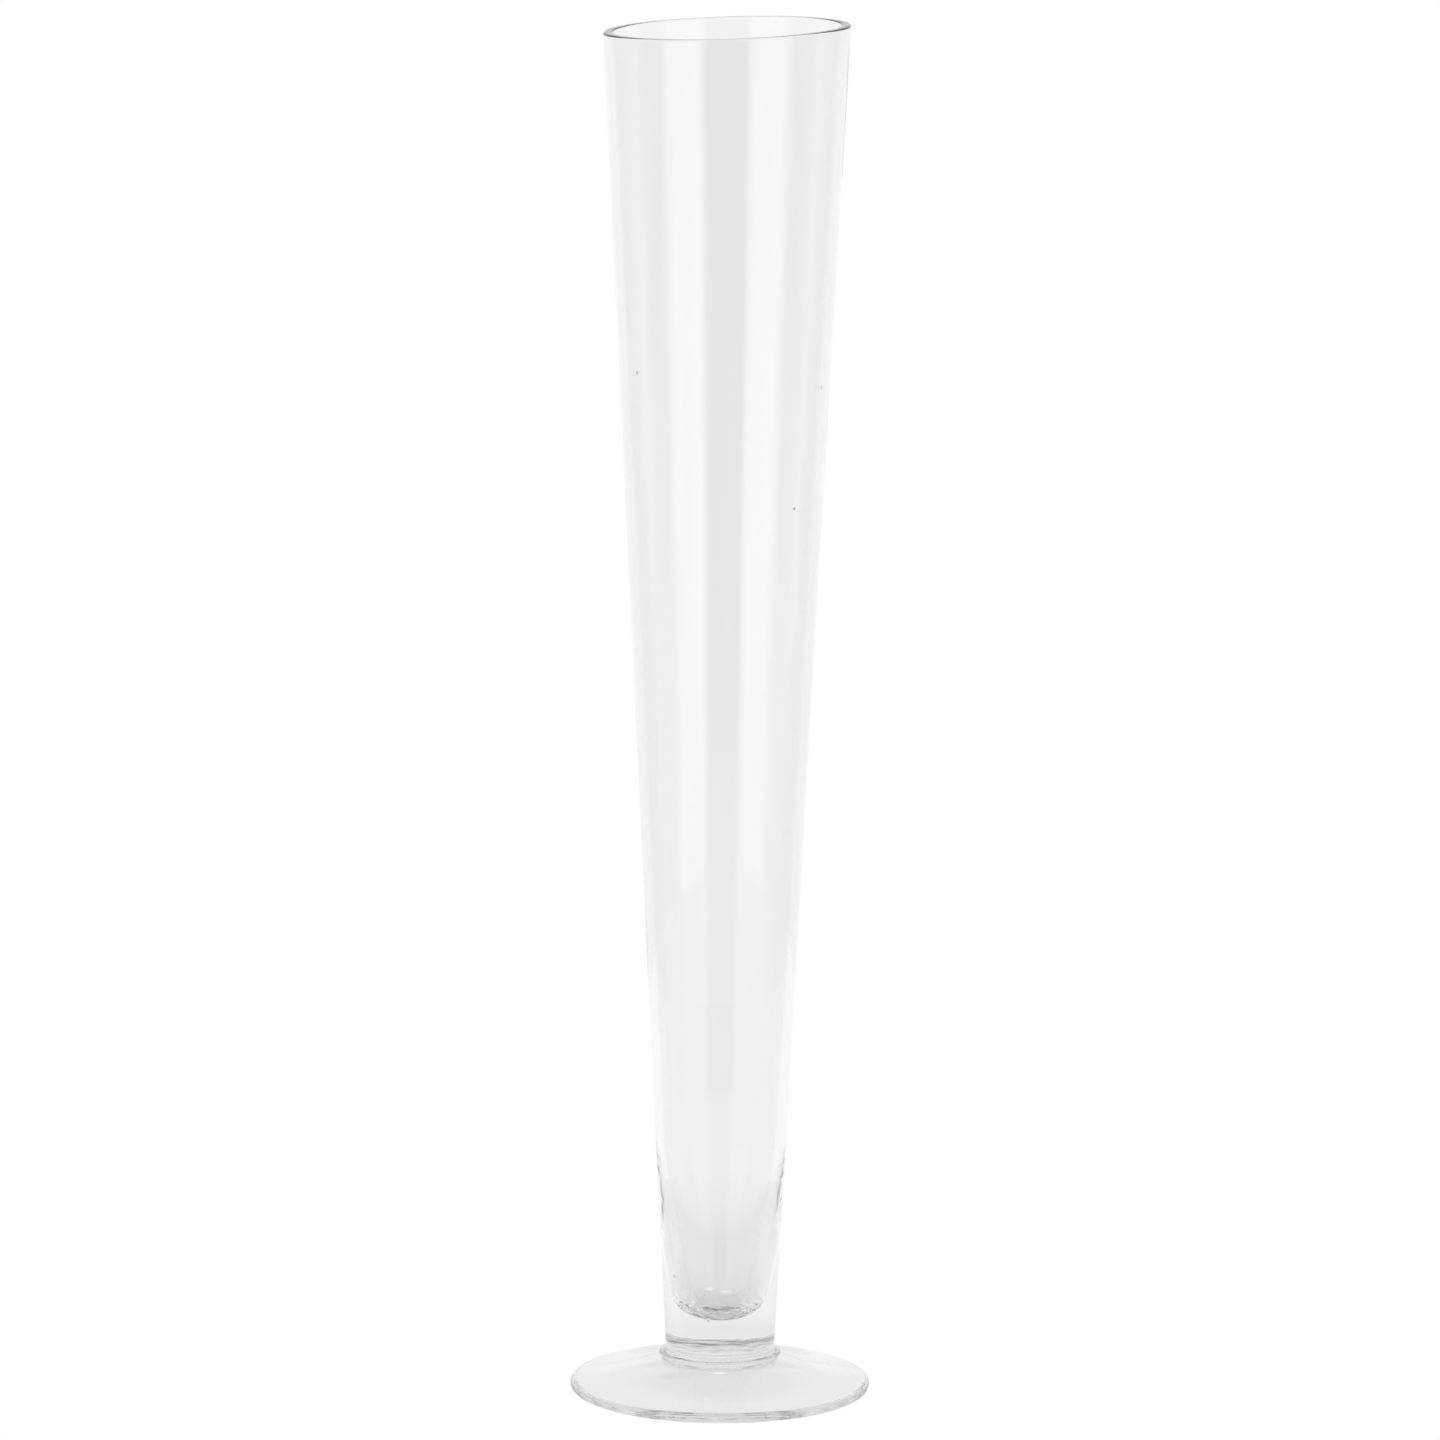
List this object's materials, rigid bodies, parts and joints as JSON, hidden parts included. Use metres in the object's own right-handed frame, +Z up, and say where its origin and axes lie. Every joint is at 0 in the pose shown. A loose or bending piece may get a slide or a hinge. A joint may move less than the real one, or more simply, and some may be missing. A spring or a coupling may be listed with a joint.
{
  "type": "trumpet vase",
  "caption": "Tall straight-sided trumpet vase of clear glass: a slim cone with a thick solid base, joined by a rounded collar to a wide domed disc foot.",
  "frame": {"origin": "on the table at the centre of the foot's resting ring", "axes": "+Z up the axis of the cone, +X towards the side where the rim stands highest, +Y to the back"},
  "size_m": [0.1316, 0.1316, 0.6019],
  "materials": {
    "clear_glass": "clear colourless hand-blown glass, fire polished, with a few small seeds and soft tool marks"
  },
  "bodies": {
    "root": {"bowl": "clear_glass", "merese": "clear_glass", "foot": "clear_glass"}
  },
  "joints": []
}
